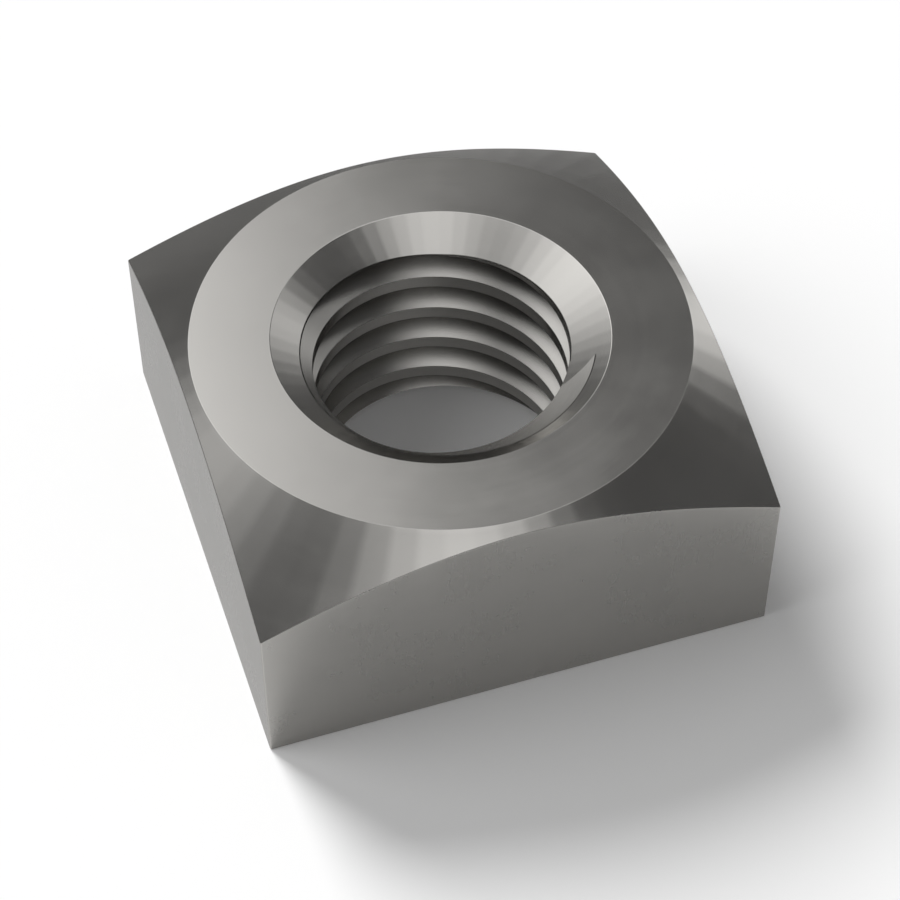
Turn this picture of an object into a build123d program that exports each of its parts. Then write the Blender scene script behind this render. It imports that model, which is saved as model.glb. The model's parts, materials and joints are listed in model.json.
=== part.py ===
from build123d import *
from build123d.topology import SkipClean

import os
from math import ceil, floor, radians, tan

# A square nut of M10 size, tapped through with a coarse right-hand thread.
# Origin: centre of the bottom bearing face. +Z runs up the thread's axis, towards the chamfered face.
# +X and +Y point at two of the four wrench flats. Sizes are in millimetres, angles in degrees.

# Outside: the square, the cone that bevels its top corners, and how far in from the flats that starts
width_across_flats = 17.0
nut_height = 8.0
bevel_slope = 30.0
bevel_margin = 0.38

# Thread, and the countersinks that lead into it from both ends, with the lip each adds to its radius
thread_diameter = 10.0
thread_pitch = 1.5
flank_angle = 30.0
thread_start_angle = 78.0
upper_lip = 0.5
lower_lip = 0.1
countersink_slope = 30.0

# Broken edges: round the square's outside, and on the rims of the turned faces
edge_radius = 0.08
rim_radius = 0.15

# The ridge of the thread is laid in pieces, this many to a turn
pieces_per_turn = 4

# Basic profile of a metric thread: the sharp V loses an eighth at its root and a quarter at its crest
flank_rise = tan(radians(flank_angle))
thread_depth = thread_pitch / (2 * flank_rise) * 5 / 8
major_radius = thread_diameter / 2
minor_radius = major_radius - thread_depth
crest_width = thread_pitch / 4

bevel_rise = tan(radians(bevel_slope))
face_radius = width_across_flats / 2 - bevel_margin
countersink_rise = tan(radians(countersink_slope))

# How far a cutting shape runs past the surface that it cuts
run_past = thread_pitch / 16


def bevel_cone():
    """The cone that the top of the bar is turned to, from below the nut to its apex above it."""
    apex = nut_height + face_radius * bevel_rise
    foot_radius = (apex + run_past) / bevel_rise
    middle = (apex - run_past) / 2
    return Pos(0, 0, middle) * Cone(foot_radius, 0, apex + run_past)


def countersink(lip):
    """Cutter of a countersink in the bottom face, point up. It runs a little past that face."""
    radius = major_radius + lip
    depth = radius * countersink_rise
    width = radius + run_past / countersink_rise
    return Pos(0, 0, (depth - run_past) / 2) * Cone(width, 0, depth + run_past)


def on_a_side(edge):
    """Whether an edge lies on one of the square's four sides."""
    middle = edge @ 0.5
    return max(abs(middle.X), abs(middle.Y)) > width_across_flats / 2 - run_past / 100


def blank():
    """The nut before it is tapped: a square block, bevelled and countersunk, with broken edges."""
    block = Pos(0, 0, nut_height / 2) * Box(width_across_flats, width_across_flats, nut_height)
    lower_sink = countersink(lower_lip)
    upper_sink = Pos(0, 0, nut_height) * Rot(180, 0, 0) * countersink(upper_lip)
    turned = (block & bevel_cone()) - lower_sink - upper_sink
    turned = fillet(turned.edges().filter_by(on_a_side), edge_radius)
    return fillet(turned.edges().filter_by(GeomType.CIRCLE), rim_radius)


def ridge_section():
    """Axial section of the ridge that the thread leaves standing, past its root and past its crest."""
    inner = minor_radius - run_past
    outer = major_radius + run_past
    inner_half = crest_width / 2 - run_past * flank_rise
    outer_half = crest_width / 2 + (thread_depth + run_past) * flank_rise
    outline = Polyline(
        (inner, -inner_half),
        (outer, -outer_half),
        (outer, outer_half),
        (inner, inner_half),
        close=True,
    )
    return Plane.XZ * make_face(outline)


def ridge_piece():
    """One piece of the ridge, climbing from +X, with its crest cut to the minor radius."""
    path = Helix(thread_pitch, thread_pitch / pieces_per_turn, major_radius)
    piece = sweep(ridge_section(), path, is_frenet=True)
    core = Rot(0, 0, 180) * Cylinder(minor_radius, 4 * thread_pitch)
    return piece - core


def ridge():
    """The whole ridge: one piece after another up the screw line, from below the nut to above it."""
    piece = ridge_piece()
    turn = 360 / pieces_per_turn
    rise = thread_pitch / pieces_per_turn
    start = -thread_pitch * thread_start_angle / 360
    first = floor((-thread_pitch - start) / rise)
    last = ceil((nut_height + thread_pitch - start) / rise)
    return [
        Pos(0, 0, start + step * rise) * Rot(0, 0, step * turn) * piece
        for step in range(first, last)
    ]


def tap():
    """What the tap takes out: a rod of the major diameter with the ridge cut into it."""
    length = nut_height + 2 * thread_pitch
    return Pos(0, 0, nut_height / 2) * Cylinder(major_radius, length) - ridge()


def square_nut():
    """The finished nut. Each piece of the thread keeps its own faces, so nothing is merged."""
    with SkipClean():
        return blank() - tap()


os.makedirs("parts", exist_ok=True)
export_step(square_nut(), "parts/square_nut.step")
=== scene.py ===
import json
from math import atan, cos, degrees, pi, radians, sin, sqrt, tan

import bpy
import numpy as np
from mathutils import Matrix, Vector

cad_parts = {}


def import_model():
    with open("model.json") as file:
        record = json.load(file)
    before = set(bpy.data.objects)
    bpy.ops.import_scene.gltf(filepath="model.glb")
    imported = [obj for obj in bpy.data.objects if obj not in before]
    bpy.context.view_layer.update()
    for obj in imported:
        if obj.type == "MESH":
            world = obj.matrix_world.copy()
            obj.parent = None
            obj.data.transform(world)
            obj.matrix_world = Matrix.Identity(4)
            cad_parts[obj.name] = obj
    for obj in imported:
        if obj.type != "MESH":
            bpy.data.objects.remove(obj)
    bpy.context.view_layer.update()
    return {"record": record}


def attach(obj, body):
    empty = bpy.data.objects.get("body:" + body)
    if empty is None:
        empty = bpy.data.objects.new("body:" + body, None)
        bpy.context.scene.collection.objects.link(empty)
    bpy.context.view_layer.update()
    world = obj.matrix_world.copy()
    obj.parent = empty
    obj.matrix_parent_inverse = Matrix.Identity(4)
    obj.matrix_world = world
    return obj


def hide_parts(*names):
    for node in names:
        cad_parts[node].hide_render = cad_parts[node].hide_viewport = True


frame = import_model()

# Lengths below are in millimetres and angles in degrees, until MM turns a length into metres.
MM = 0.001

# The nut, with the same sizes as its solid
ACROSS_FLATS = 17.0
HEIGHT = 8.0
FACE_RADIUS = 8.12
SINK_RADIUS = 5.5
LOWER_SINK_RADIUS = 5.1
CONE_SLOPE = 30.0
PITCH = 1.5
THREAD_START = 78.0
THREAD_FLANK = 30.0
MAJOR_RADIUS = 5.0

# A metric thread is five eighths as deep as a sharp V
MINOR_RADIUS = MAJOR_RADIUS - PITCH / (2 * tan(radians(THREAD_FLANK))) * 5 / 8

# The thread departs a little from the solid's: broader crests, flatter flanks and a small rounding
CREST_WIDTH = 0.48
FLANK_RISE = 0.5
CREST_ROUNDING = 0.02
CREST_STEPS = 2

# The normals of the flanks lean as if the flanks were steeper by this factor. Their points keep their slope.
FLANK_LEAN = 1.09

# Broken edges: the outside ones, the rims of the countersinks, and the rim of the top face
EDGE_RADIUS = 0.05
EDGE_STEPS = 3
RIM_RADIUS = 0.05
FACE_RIM_RADIUS = 0.02
RIM_STEPS = 4

# Width of the strip on which the shading turns where the thread meets a cone
EDGE_BREAK = 0.05

# A row of points this far beyond each broken edge keeps the shading of the face level up to it
HOLD_EDGE = 4 * EDGE_RADIUS
HOLD_RIM = 2 * RIM_RADIUS
HOLD_FACE_RIM = 2 * FACE_RIM_RADIUS
HOLD_BEVEL = 0.15
HOLD_BREAK = 0.12
HOLD_LOWER_BREAK = 2 * EDGE_BREAK

# Chatter of the tool left faint facets on the cones, this many to a turn and of uneven strength. They would
# be about 0.01 mm deep, so they are in the normals alone.
CHATTER_FACETS = 64
CHATTER_LEAST, CHATTER_MOST = 0.55, 0.95
CHATTER_SEED = 7
COLUMNS_PER_FACET = 6

# Where half-planes stand round a broken corner, as shares of the angle from its middle to its end
CORNER_SHARES = (-1, -0.6, -0.25, 0.25, 0.6, 1)

# Half-planes stand this far each side of where a point of the thread meets a cone, and no two stand closer
# together than LEAST_GAP
MEET_GAP = 0.001
LEAST_GAP = 1e-4

# Points in the same cell are one point. This many cells make a millimetre.
CELLS_PER_MM = 1e5

# Two directions closer than this, in radians, are one direction
LEAST_TURN = 1e-9

RISE = tan(radians(CONE_SLOPE))
HALF = ACROSS_FLATS / 2
TURN = PITCH / (2 * pi)


# Shape


def unit(v):
    v = np.asarray(v, float)
    return v / np.linalg.norm(v)


def between(a, b, t):
    """A unit vector part of the way from a to b, turning evenly."""
    a, b = unit(a), unit(b)
    angle = np.arccos(np.clip(a @ b, -1, 1))
    if angle < LEAST_TURN:
        return a
    return (np.sin((1 - t) * angle) * a + np.sin(t * angle) * b) / np.sin(angle)


def rounded(corner, before, after, radius, steps):
    """Points of the arc that rounds a corner of an outline, where its direction turns."""
    corner, before, after = np.asarray(corner, float), unit(before), unit(after)
    half_turn = np.arccos(np.clip(before @ after, -1, 1)) / 2
    back = radius * np.tan(half_turn)
    start = corner - before * back
    side = after - before * (before @ after)
    centre = start + unit(side) * radius
    spoke = start - centre
    points = []
    for k in range(steps + 1):
        turn = 2 * half_turn * k / steps
        points.append(centre + spoke * np.cos(turn) + before * radius * np.sin(turn))
    return points


def thread_period():
    """One pitch of the thread's outline, from root to root: radius, height and direction of each point, and
    whether it is one of the pair on each flank that moves to where a cone crosses it."""
    inward, along, outward = unit((-1, FLANK_RISE)), np.array([0.0, 1.0]), unit((1, FLANK_RISE))
    crest = CREST_WIDTH / 2
    root = crest + (MAJOR_RADIUS - MINOR_RADIUS) * FLANK_RISE
    middle = (MAJOR_RADIUS + MINOR_RADIUS) / 2
    corners = [
        ((MAJOR_RADIUS, -root), along, inward, 0, 1),
        ((MINOR_RADIUS, -crest), inward, along, CREST_ROUNDING, CREST_STEPS),
        ((MINOR_RADIUS, crest), along, outward, CREST_ROUNDING, CREST_STEPS),
        ((MAJOR_RADIUS, root), outward, along, 0, 1),
    ]
    rows = [(MAJOR_RADIUS, -PITCH / 2, along, False)]
    for number, (corner, before, after, radius, steps) in enumerate(corners):
        ends_a_flank = number in (1, 3)
        if ends_a_flank:
            z = (corners[number - 1][0][1] + corner[1]) / 2
            rows += [(middle, z, before, True)] * 2
        for k, (r, z) in enumerate(rounded(corner, before, after, radius, steps)):
            rows.append((r, z, between(before, after, k / steps), False))
    return rows


PERIOD = thread_period()

# Enough turns of the thread to pass both ends of the hole at every angle
TURNS = range(-1, 6)


def thread_column(angle):
    """The thread's outline in the half-plane at an angle, cut off where it meets the two cones: radius,
    height and normal of each point, and whether a cone has shaved it."""
    rise = PITCH * (angle - THREAD_START) / 360
    r = np.array([row[0] for _ in TURNS for row in PERIOD])
    z = np.array([PITCH * turn + rise + row[1] for turn in TURNS for row in PERIOD])
    way = np.array([row[2] for _ in TURNS for row in PERIOD])
    loose = np.array([row[3] for _ in TURNS for row in PERIOD])
    shaved = np.zeros(len(r), bool)
    normal = np.stack([-FLANK_LEAN * way[:, 1], -way[:, 0] * TURN / r, way[:, 0]], axis=1)
    normal /= np.linalg.norm(normal, axis=1)[:, None]
    for cone_radius, base, order in ((LOWER_SINK_RADIUS, 0.0, 1), (SINK_RADIUS, HEIGHT, -1)):
        outside = cone_radius - order * (z - base) / RISE - r
        rows = np.arange(len(r))[::order]
        first = next(k for k, row in enumerate(rows) if outside[row] < 0)
        near, far = rows[first], rows[first - 1]
        t = outside[far] / (outside[far] - outside[near])
        gone = rows[:first]
        cut_r, cut_z = r[far] + t * (r[near] - r[far]), z[far] + t * (z[near] - z[far])
        cut_n = normal[far] + t * (normal[near] - normal[far])
        r[gone], z[gone], normal[gone] = cut_r, cut_z, cut_n / np.linalg.norm(cut_n)
        # Further in, what still stands above the cone is shaved down to it
        above = [row for row in rows[first:] if outside[row] > 0]
        while above and loose[above[0]]:
            above.pop(0)
        if not above or not loose[above[0] - order]:
            continue
        start, beyond = above[0], above[0] - 3 * order
        t = outside[start] / (outside[start] - outside[beyond])
        for row in (start - order, start - 2 * order):
            r[row], z[row] = r[start] + t * (r[beyond] - r[start]), z[start] + t * (z[beyond] - z[start])
        for row in above:
            z[row] = base + order * (cone_radius - r[row]) * RISE
        shaved[[start - order, *above[:-1]]] = True
    return r, z, normal, shaved


def side_of(angle):
    """How far out the square's side is at an angle, and which way it faces there."""
    quarter = round(angle / 90) * 90
    a = radians(angle - quarter)
    r, facing = HALF / cos(a), 0.0
    if abs(HALF * tan(a)) > HALF - EDGE_RADIUS:
        centre = HALF - EDGE_RADIUS
        u = np.array([cos(a), sin(a)])
        c = np.array([centre, centre * np.sign(a)])
        r = u @ c + sqrt((u @ c) ** 2 - c @ c + EDGE_RADIUS**2)
        facing = degrees(np.arctan2(*(r * u - c)[::-1]))
    return r, quarter + facing


def round_axis(angle, radial, up):
    return np.array([radial * cos(radians(angle)), radial * sin(radians(angle)), up])


# Finishes, in the order of the mesh's materials
TURNED, SIDES, TAPPED = 0, 1, 2

# How strong each facet's chatter is, on the bevel, the upper countersink and the lower one
CHATTER = np.random.default_rng(CHATTER_SEED).uniform(CHATTER_LEAST, CHATTER_MOST, (3, CHATTER_FACETS))


def chattered(angle, strengths):
    """The way a cone faces at an angle: it hardly turns along each facet, and catches up round its ends."""
    place = angle * CHATTER_FACETS / 360
    edge = round(place)
    past = place - edge
    soft = 1 / COLUMNS_PER_FACET
    facet = int(np.floor(place)) % CHATTER_FACETS
    to_middle = (0.5 - abs(past)) * np.sign(past)
    strength = strengths[facet] * min(abs(past) / soft, 1)
    return angle + strength * to_middle * 360 / CHATTER_FACETS


def column(angle):
    """Everything in the half-plane at an angle, once round the section: radius, height, normal, finish and
    wear of each point."""
    side, facing = side_of(angle)
    level = round_axis(facing, 1, 0)
    bevel_angle, sink_angle, lower_angle = (chattered(angle, strengths) for strengths in CHATTER)
    tilt_r, tilt_z = sin(radians(CONE_SLOPE)), cos(radians(CONE_SLOPE))
    up, down = np.array([0, 0, 1.0]), np.array([0, 0, -1.0])
    bevel = round_axis(bevel_angle, tilt_r, tilt_z)
    sink_up = round_axis(sink_angle, -tilt_r, tilt_z)
    sink_down = round_axis(lower_angle, -tilt_r, -tilt_z)
    rows = []

    def put(r, z, normal, finish, wear=0.0):
        rows.append((r, z, normal, finish, wear))

    def turn(corner, before, after, radius, steps, n_before, n_after, finish):
        for k, (r, z) in enumerate(rounded(corner, before, after, radius, steps)):
            put(r, z, between(n_before, n_after, k / steps), finish, 1.0)

    out, into, falling = (1, 0), (-1, 0), (0, -1)
    cone_out_up, cone_out_down = (tilt_z, tilt_r), (tilt_z, -tilt_r)
    cone_in_up = (-tilt_z, tilt_r)

    # Bottom face, inwards, and its countersink, up to the thread
    put(side - HOLD_EDGE, 0, down, TURNED)
    put(LOWER_SINK_RADIUS + HOLD_RIM, 0, down, TURNED)
    turn((LOWER_SINK_RADIUS, 0), into, cone_in_up, RIM_RADIUS, RIM_STEPS, down, sink_down, TURNED)
    r, z, normal, shaved = thread_column(angle)
    put(r[0] + HOLD_LOWER_BREAK, z[0] - HOLD_LOWER_BREAK * RISE, sink_down, TURNED)
    put(r[0] + EDGE_BREAK, z[0] - EDGE_BREAK * RISE, sink_down, TURNED)
    # Thread
    for k in range(len(r)):
        radial, around, along = normal[k]
        n = round_axis(angle, radial, along) + round_axis(angle + 90, around, 0)
        if shaved[k]:
            put(r[k], z[k], sink_up if z[k] > HEIGHT / 2 else sink_down, TURNED)
        else:
            put(r[k], z[k], n, TAPPED)
    # Upper countersink, top face, bevel
    put(r[-1] + EDGE_BREAK, z[-1] + EDGE_BREAK * RISE, sink_up, TURNED)
    put(r[-1] + HOLD_BREAK, z[-1] + HOLD_BREAK * RISE, sink_up, TURNED)
    turn((SINK_RADIUS, HEIGHT), cone_out_up, out, RIM_RADIUS, RIM_STEPS, sink_up, up, TURNED)
    put(SINK_RADIUS + HOLD_RIM, HEIGHT, up, TURNED)
    put(FACE_RADIUS - HOLD_FACE_RIM, HEIGHT, up, TURNED)
    turn((FACE_RADIUS, HEIGHT), out, cone_out_down, FACE_RIM_RADIUS, RIM_STEPS, up, bevel, TURNED)
    put(FACE_RADIUS + HOLD_BEVEL, HEIGHT - HOLD_BEVEL * RISE, bevel, TURNED)
    bevel_end = HEIGHT - (side - FACE_RADIUS) * RISE
    turn((side, bevel_end), cone_out_down, falling, EDGE_RADIUS, EDGE_STEPS, bevel, level, SIDES)
    # Side, and the edge at its foot
    put(side, bevel_end - HOLD_EDGE, level, SIDES)
    put(side, HOLD_EDGE, level, SIDES)
    turn((side, 0), falling, into, EDGE_RADIUS, EDGE_STEPS, level, down, SIDES)
    return rows


def column_angles():
    """Where the half-planes stand: evenly, at the square's broken corners, and where the thread runs out."""
    count = CHATTER_FACETS * COLUMNS_PER_FACET
    angles = [360 * k / count for k in range(count + 1)]
    lag = degrees(atan(HALF / (HALF - EDGE_RADIUS))) - 45
    for corner in (45, 135, 225, 315):
        angles += [corner + lag * share for share in CORNER_SHARES]
    for r, z, _, _ in PERIOD:
        for cone_z in ((LOWER_SINK_RADIUS - r) * RISE, HEIGHT - (SINK_RADIUS - r) * RISE):
            meets = (THREAD_START + 360 * (cone_z - z) / PITCH) % 360
            angles += [meets - MEET_GAP, meets + MEET_GAP]
    angles = sorted(angles)
    kept = [angles[0]]
    for a in angles[1:]:
        if a - kept[-1] > LEAST_GAP:
            kept.append(a)
    kept[-1] = 360.0
    return kept


def nut_mesh():
    """The nut's surface, from one half-plane to the next, with a normal for each corner of each face."""
    angles = column_angles()
    columns = [column(a) for a in angles]
    number_of, vertices, wear_of = {}, [], []

    def vertex(p, wear):
        key = tuple(np.round(p * CELLS_PER_MM).astype(int))
        if key not in number_of:
            number_of[key] = len(vertices)
            vertices.append(p)
            wear_of.append(wear)
        number = number_of[key]
        wear_of[number] = max(wear_of[number], wear)
        return number

    placed = [
        [vertex(round_axis(a, r, z), wear) for r, z, _, _, wear in rows] for a, rows in zip(angles, columns)
    ]
    faces, normals, finishes = [], [], []
    for j in range(len(angles) - 1):
        left, right = columns[j], columns[j + 1]
        for i in range(len(left)):
            k = (i + 1) % len(left)
            # Corners that are one point count once, so a face can shrink to a triangle or to nothing
            ring = {}
            for number, normal in (
                (placed[j][i], left[i][2]),
                (placed[j][k], left[k][2]),
                (placed[j + 1][k], right[k][2]),
                (placed[j + 1][i], right[i][2]),
            ):
                ring.setdefault(number, normal)
            if len(ring) < 3:
                continue
            faces.append(list(ring))
            normals.extend(ring.values())
            finishes.append(TAPPED if TAPPED in (left[i][3], left[k][3]) else left[i][3])
    mesh = bpy.data.meshes.new("square_nut_finished")
    mesh.from_pydata([tuple(p * MM) for p in vertices], [], faces)
    mesh.polygons.foreach_set("material_index", finishes)
    mesh.polygons.foreach_set("use_smooth", [True] * len(faces))
    worn = mesh.attributes.new("wear", "FLOAT", "POINT")
    worn.data.foreach_set("value", wear_of)
    mesh.update()
    mesh.normals_split_custom_set([tuple(unit(n)) for n in normals])
    return mesh


nut = bpy.data.objects.new("square_nut_finished", nut_mesh())
bpy.context.scene.collection.objects.link(nut)
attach(nut, "root")
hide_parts("square_nut")


# Materials

STEEL = frame["record"]["materials"][0]["base_color"]

# How much of its mirror shine steel keeps at a glancing angle
GLANCING = 0.6

# How far cloudy patches and tool marks sway the steel's tone and roughness, and how much wear lightens it
CLOUD_TONE, MARK_TONE, WEAR_TONE = 0.02, 0.005, 0.04
CLOUD_ROUGHNESS, MARK_ROUGHNESS = 0.015, 0.005

# Size of the cloudy patches, in patches to a metre, and their finer detail
CLOUD_SCALE, CLOUD_DETAIL, CLOUD_GRAIN = 350, 4.0, 0.6

# The middle values of a noise, between which its effect runs from one end to the other
CLOUD_LOW, CLOUD_HIGH = 0.3, 0.7
MARK_LOW, MARK_HIGH = 0.2, 0.8

# Sockets of a Mix node that mixes colours
MIX_A, MIX_B, MIX_RESULT = 6, 7, 2


class Nodes:
    """Short calls for building the nodes of a material or of the world."""

    def __init__(self, tree):
        self.tree = tree
        tree.nodes.clear()

    def add(self, kind, **settings):
        node = self.tree.nodes.new(kind)
        for name, value in settings.items():
            setattr(node, name, value)
        return node

    def link(self, out, into):
        self.tree.links.new(out, into)

    def fill(self, socket, value):
        if isinstance(value, bpy.types.NodeSocket):
            self.link(value, socket)
        else:
            socket.default_value = value

    def math(self, operation, *values):
        node = self.add("ShaderNodeMath", operation=operation)
        for socket, value in zip(node.inputs, values):
            self.fill(socket, value)
        return node.outputs[0]

    def vector(self, operation, *values):
        node = self.add("ShaderNodeVectorMath", operation=operation)
        for socket, value in zip(node.inputs, values):
            self.fill(socket, value)
        return node.outputs["Value"] if operation in ("LENGTH", "DOT_PRODUCT") else node.outputs[0]

    def spread(self, value, low, high, to_low, to_high, smooth=True):
        node = self.add("ShaderNodeMapRange", interpolation_type="SMOOTHSTEP" if smooth else "LINEAR")
        names = ("Value", "From Min", "From Max", "To Min", "To Max")
        for name, given in zip(names, (value, low, high, to_low, to_high)):
            self.fill(node.inputs[name], given)
        return node.outputs[0]

    def noise(self, where, scale, detail=2.0, roughness=0.5):
        node = self.add("ShaderNodeTexNoise")
        self.fill(node.inputs["Vector"], where)
        node.inputs["Scale"].default_value = scale
        node.inputs["Detail"].default_value = detail
        node.inputs["Roughness"].default_value = roughness
        return node.outputs["Fac"]


def steel(name, shade, roughness, anisotropy, across, marks_from, along, scale, depth):
    """Bright steel. Its gloss is brushed round the axis, or away from that by the share of a full turn that
    across gives. Its tool marks are what marks_from makes of along and scale, and they are this deep."""
    material = bpy.data.materials.new(name)
    material.use_nodes = True
    n = Nodes(material.node_tree)
    where = n.add("ShaderNodeTexCoord").outputs["Object"]
    shader = n.add("ShaderNodeBsdfPrincipled")
    shader.inputs["Metallic"].default_value = 1.0
    shader.inputs["Anisotropic"].default_value = anisotropy
    shader.inputs["Anisotropic Rotation"].default_value = across
    shader.inputs["Specular Tint"].default_value = (GLANCING, GLANCING, GLANCING, 1)
    tangent = n.add("ShaderNodeTangent", direction_type="RADIAL", axis="Z")
    n.link(tangent.outputs[0], shader.inputs["Tangent"])
    marks = marks_from(n, where, along, scale)
    cloud = n.noise(where, CLOUD_SCALE, CLOUD_DETAIL, CLOUD_GRAIN)
    wear = n.add("ShaderNodeAttribute", attribute_name="wear").outputs["Fac"]
    patches = n.spread(cloud, CLOUD_LOW, CLOUD_HIGH, shade - CLOUD_TONE, shade + CLOUD_TONE)
    tone = n.math("ADD", patches, n.spread(marks, MARK_LOW, MARK_HIGH, -MARK_TONE, MARK_TONE))
    tone = n.math("ADD", tone, n.math("MULTIPLY", wear, WEAR_TONE))
    colour = n.add("ShaderNodeMix", data_type="RGBA", blend_type="MULTIPLY")
    colour.inputs["Factor"].default_value = 1.0
    colour.inputs[MIX_A].default_value = (*STEEL, 1)
    n.link(tone, colour.inputs[MIX_B])
    n.link(colour.outputs[MIX_RESULT], shader.inputs["Base Color"])
    patches = n.spread(cloud, CLOUD_LOW, CLOUD_HIGH, -CLOUD_ROUGHNESS, CLOUD_ROUGHNESS)
    rough = n.math("ADD", patches, n.spread(marks, MARK_LOW, MARK_HIGH, -MARK_ROUGHNESS, MARK_ROUGHNESS))
    n.link(n.math("ADD", rough, roughness), shader.inputs["Roughness"])
    bump = n.add("ShaderNodeBump")
    bump.inputs["Strength"].default_value = 1.0
    bump.inputs["Distance"].default_value = depth * MM
    n.link(marks, bump.inputs["Height"])
    n.link(bump.outputs[0], shader.inputs["Normal"])
    out = n.add("ShaderNodeOutputMaterial")
    n.link(shader.outputs[0], out.inputs["Surface"])
    return material


def round_marks(n, where, along, scale):
    """Fine lines round the axis, by distance from it. A small along makes them change slowly round it."""
    apart = n.add("ShaderNodeSeparateXYZ")
    n.link(where, apart.inputs[0])
    x, y = apart.outputs[0], apart.outputs[1]
    flat = n.add("ShaderNodeCombineXYZ")
    n.link(x, flat.inputs[0])
    n.link(y, flat.inputs[1])
    place = n.add("ShaderNodeCombineXYZ")
    n.link(n.math("MULTIPLY", x, along), place.inputs[0])
    n.link(n.math("MULTIPLY", y, along), place.inputs[1])
    n.link(n.vector("LENGTH", flat.outputs[0]), place.inputs[2])
    return n.noise(place.outputs[0], scale)


def bar_marks(n, where, along, scale):
    """Fine lines along the bar that the nut was cut from. A small along makes them change slowly up it."""
    return n.noise(n.vector("MULTIPLY", where, (1.0, 1.0, along)), scale)


finishes = {
    TURNED: steel("turned_steel", 1.0, 0.20, 0.25, 0.0, round_marks, along=0.02, scale=5500, depth=0.0001),
    SIDES: steel("drawn_steel", 0.9, 0.28, 0.2, 0.0, bar_marks, along=0.03, scale=6000, depth=0.00004),
    TAPPED: steel("tapped_steel", 0.95, 0.25, 0.85, 0.25, round_marks, along=0.05, scale=5000, depth=0.0005),
}
for number in sorted(finishes):
    nut.data.materials.append(finishes[number])


# Studio

# Half the width of the floor, in metres
FLOOR_REACH = 3.0

# How finely the dome and the screen are divided
DOME_RINGS, DOME_STEPS, SCREEN_STEPS = 25, 64, 96

# A panel ends where it would be further to the side than this, the cosine of the angle from its middle
PANEL_END = 0.05


def direction(azimuth, elevation):
    """Unit vector towards a place in the studio: azimuth turns from +X to +Y."""
    a, e = radians(azimuth), radians(elevation)
    return Vector((cos(a) * cos(e), sin(a) * cos(e), sin(e)))


def seen_directly(n):
    """1 for what the camera, a mirror or glass sees, and 0 for light that falls on things."""
    path = n.add("ShaderNodeLightPath")
    total = n.math("ADD", path.outputs["Is Camera Ray"], path.outputs["Is Glossy Ray"])
    total = n.math("ADD", total, path.outputs["Is Transmission Ray"])
    return n.math("MINIMUM", total, 1.0)


def studio_floor(albedo, lift):
    """A plain white floor. lift is how much lighter it looks than the light on it makes it."""
    mesh = bpy.data.meshes.new("studio_floor")
    far = FLOOR_REACH
    corners = [(-far, -far, 0), (far, -far, 0), (far, far, 0), (-far, far, 0)]
    mesh.from_pydata(corners, [], [(0, 1, 2, 3)])
    floor = bpy.data.objects.new("studio_floor", mesh)
    bpy.context.scene.collection.objects.link(floor)
    material = bpy.data.materials.new("studio_floor")
    material.use_nodes = True
    n = Nodes(material.node_tree)
    diffuse = n.add("ShaderNodeBsdfDiffuse")
    diffuse.inputs["Color"].default_value = (albedo, albedo, albedo, 1)
    glow = n.add("ShaderNodeEmission")
    n.link(n.math("MULTIPLY", seen_directly(n), lift), glow.inputs["Strength"])
    both = n.add("ShaderNodeAddShader")
    n.link(diffuse.outputs[0], both.inputs[0])
    n.link(glow.outputs[0], both.inputs[1])
    out = n.add("ShaderNodeOutputMaterial")
    n.link(both.outputs[0], out.inputs["Surface"])
    mesh.materials.append(material)


def world(fill):
    """White to the eye and in reflections, and a soft even light on everything."""
    made = bpy.data.worlds.new("studio")
    bpy.context.scene.world = made
    made.use_nodes = True
    n = Nodes(made.node_tree)
    background = n.add("ShaderNodeBackground")
    seen = seen_directly(n)
    n.link(n.spread(seen, 0, 1, fill, 1.0, smooth=False), background.inputs["Strength"])
    out = n.add("ShaderNodeOutputWorld")
    n.link(background.outputs[0], out.inputs["Surface"])


def only_in_reflections(thing):
    thing.visible_camera = thing.visible_diffuse = thing.visible_shadow = thing.visible_transmission = False
    thing.visible_volume_scatter = False


def glowing(name, mesh, paint):
    """A thing that shows only in reflections. paint(nodes, place) gives its glow and how solid it is."""
    thing = bpy.data.objects.new(name, mesh)
    bpy.context.scene.collection.objects.link(thing)
    material = bpy.data.materials.new(name)
    material.use_nodes = True
    material.cycles.emission_sampling = "NONE"
    n = Nodes(material.node_tree)
    strength, cover = paint(n, n.add("ShaderNodeTexCoord").outputs["Object"])
    glow = n.add("ShaderNodeEmission")
    n.fill(glow.inputs["Strength"], strength)
    mix = n.add("ShaderNodeMixShader")
    n.fill(mix.inputs[0], cover)
    n.link(n.add("ShaderNodeBsdfTransparent").outputs[0], mix.inputs[1])
    n.link(glow.outputs[0], mix.inputs[2])
    n.link(mix.outputs[0], n.add("ShaderNodeOutputMaterial").inputs["Surface"])
    mesh.materials.append(material)
    only_in_reflections(thing)


def ring_of_faces(name, rings, steps):
    """A mesh of rings of points, each given by how far out and how high it is."""
    mesh = bpy.data.meshes.new(name)
    points = [
        (r * cos(2 * pi * k / steps) * MM, r * sin(2 * pi * k / steps) * MM, z * MM)
        for r, z in rings
        for k in range(steps)
    ]
    faces = []
    for row in range(len(rings) - 1):
        lower, upper = row * steps, (row + 1) * steps
        for k in range(steps):
            after = (k + 1) % steps
            faces.append((lower + k, lower + after, upper + after, upper + k))
    mesh.from_pydata(points, [], faces)
    return mesh


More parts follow.
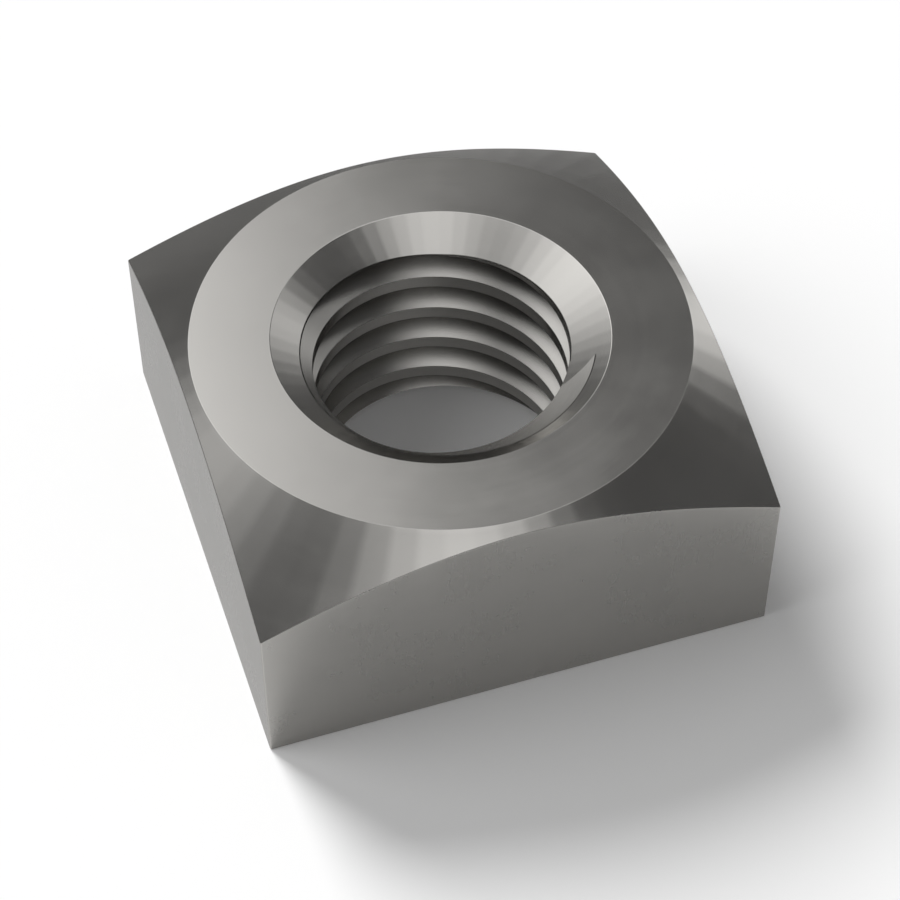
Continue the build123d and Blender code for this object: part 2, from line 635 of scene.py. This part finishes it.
def light_tent(radius, dim, low, low_top, panels):
    """A dim cloth dome, lighter low down, up to low_top, the sine of an elevation. Its soft panels glow or
    are dark. Each is at an azimuth and elevation, its size is its width and height at a distance of 1, and
    soft is the share of each that fades."""
    rings = [(radius * cos(a), radius * sin(a)) for a in np.linspace(0, pi / 2, DOME_RINGS)]
    dome = ring_of_faces("light_tent", rings, DOME_STEPS)

    def panel(n, where, under, at, tilt, size, soft, strength):
        ahead = direction(*at)
        upward = (Vector((0, 0, 1)) - ahead * ahead.z).normalized()
        sideways = upward.cross(ahead)
        c, s = cos(radians(tilt)), sin(radians(tilt))
        towards = n.vector("DOT_PRODUCT", where, ahead)
        distance = n.math("MAXIMUM", towards, PANEL_END)
        cover = n.math("GREATER_THAN", towards, PANEL_END)
        axes = (c * sideways + s * upward, c * upward - s * sideways)
        for axis, width, fading in zip(axes, size, soft):
            off = n.math("ABSOLUTE", n.math("DIVIDE", n.vector("DOT_PRODUCT", where, axis), distance))
            cover = n.math("MULTIPLY", cover, n.spread(off, width / 2 * (1 - fading), width / 2, 1, 0))
        return n.spread(cover, 0, 1, under, strength, smooth=False)

    def paint(n, place):
        where = n.vector("NORMALIZE", place)
        height = n.vector("DOT_PRODUCT", where, (0, 0, 1))
        glow = n.spread(height, 0, low_top, low, dim)
        for values in panels:
            glow = panel(n, where, glow, **values)
        return glow, 1.0

    glowing("light_tent", dome, paint)


def low_screen(radius, height, soft, strength):
    """A low screen round the nut, with a soft upper edge, that keeps the white floor out of its bevels."""
    wall = ring_of_faces("low_screen", [(radius, 0), (radius, height)], SCREEN_STEPS)

    def paint(n, place):
        up = n.vector("DOT_PRODUCT", place, (0, 0, 1))
        return strength, n.spread(up, (height - soft) * MM, height * MM, 1, 0)

    glowing("low_screen", wall, paint)


def sun(name, azimuth, elevation, width, share):
    """A broad lamp far away. share is how bright it makes a white floor."""
    lamp = bpy.data.lights.new(name, "SUN")
    lamp.energy = share * pi / sin(radians(elevation))
    lamp.angle = radians(width)
    thing = bpy.data.objects.new(name, lamp)
    bpy.context.scene.collection.objects.link(thing)
    thing.rotation_mode = "QUATERNION"
    thing.rotation_quaternion = direction(azimuth, elevation).to_track_quat("Z", "Y")
    thing.visible_glossy = False


studio_floor(albedo=0.92, lift=0.06)
world(fill=0.26)
sun("key", azimuth=110, elevation=39, width=27, share=0.62)
sun("side", azimuth=168, elevation=43, width=45, share=0.20)
light_tent(
    radius=500,
    dim=0.103,
    low=0.172,
    low_top=0.59,
    panels=[
        dict(at=(80, 49.5), tilt=-58, size=(1.83, 3.44), soft=(1, 0.86), strength=2.38),
        dict(at=(-99, 74.7), tilt=-81, size=(2.98, 1.17), soft=(0.28, 1), strength=1.16),
        dict(at=(41, 22.2), tilt=3.6, size=(0.95, 3.29), soft=(0.8, 0.06), strength=1.89),
        dict(at=(61.3, 16.8), tilt=17.6, size=(1.37, 2.28), soft=(0.64, 0.38), strength=0.13),
    ],
)
low_screen(radius=33, height=9, soft=2, strength=0.27)


# Camera

# Where it stands and how it is turned. Its azimuth turns from -Y to +X.
AZIMUTH, ELEVATION, ROLL = -17.97, 49.84, -0.15
DISTANCE, AIM_RIGHT, AIM_UP = 90.62, 0.284, 1.366
LENS, SENSOR_WIDTH = 105.06, 36.0

# How near and how far it sees
NEAREST, FURTHEST = 1.0, 10000.0

a, e = radians(AZIMUTH), radians(ELEVATION)
back = Vector((sin(a) * cos(e), -cos(a) * cos(e), sin(e)))
right = Vector((0, 0, 1)).cross(back).normalized()
up = back.cross(right)
c, s = cos(radians(ROLL)), sin(radians(ROLL))
right, up = c * right + s * up, c * up - s * right
turned = Matrix((right, up, back)).transposed()
place = turned @ Vector((AIM_RIGHT, AIM_UP, DISTANCE)) * MM
view = bpy.data.cameras.new("camera")
view.lens = LENS
view.sensor_width = SENSOR_WIDTH
view.clip_start, view.clip_end = NEAREST * MM, FURTHEST * MM
camera = bpy.data.objects.new("camera", view)
bpy.context.scene.collection.objects.link(camera)
camera.matrix_world = Matrix.Translation(place) @ turned.to_4x4()
bpy.context.scene.camera = camera
bpy.context.scene.view_settings.view_transform = "Standard"
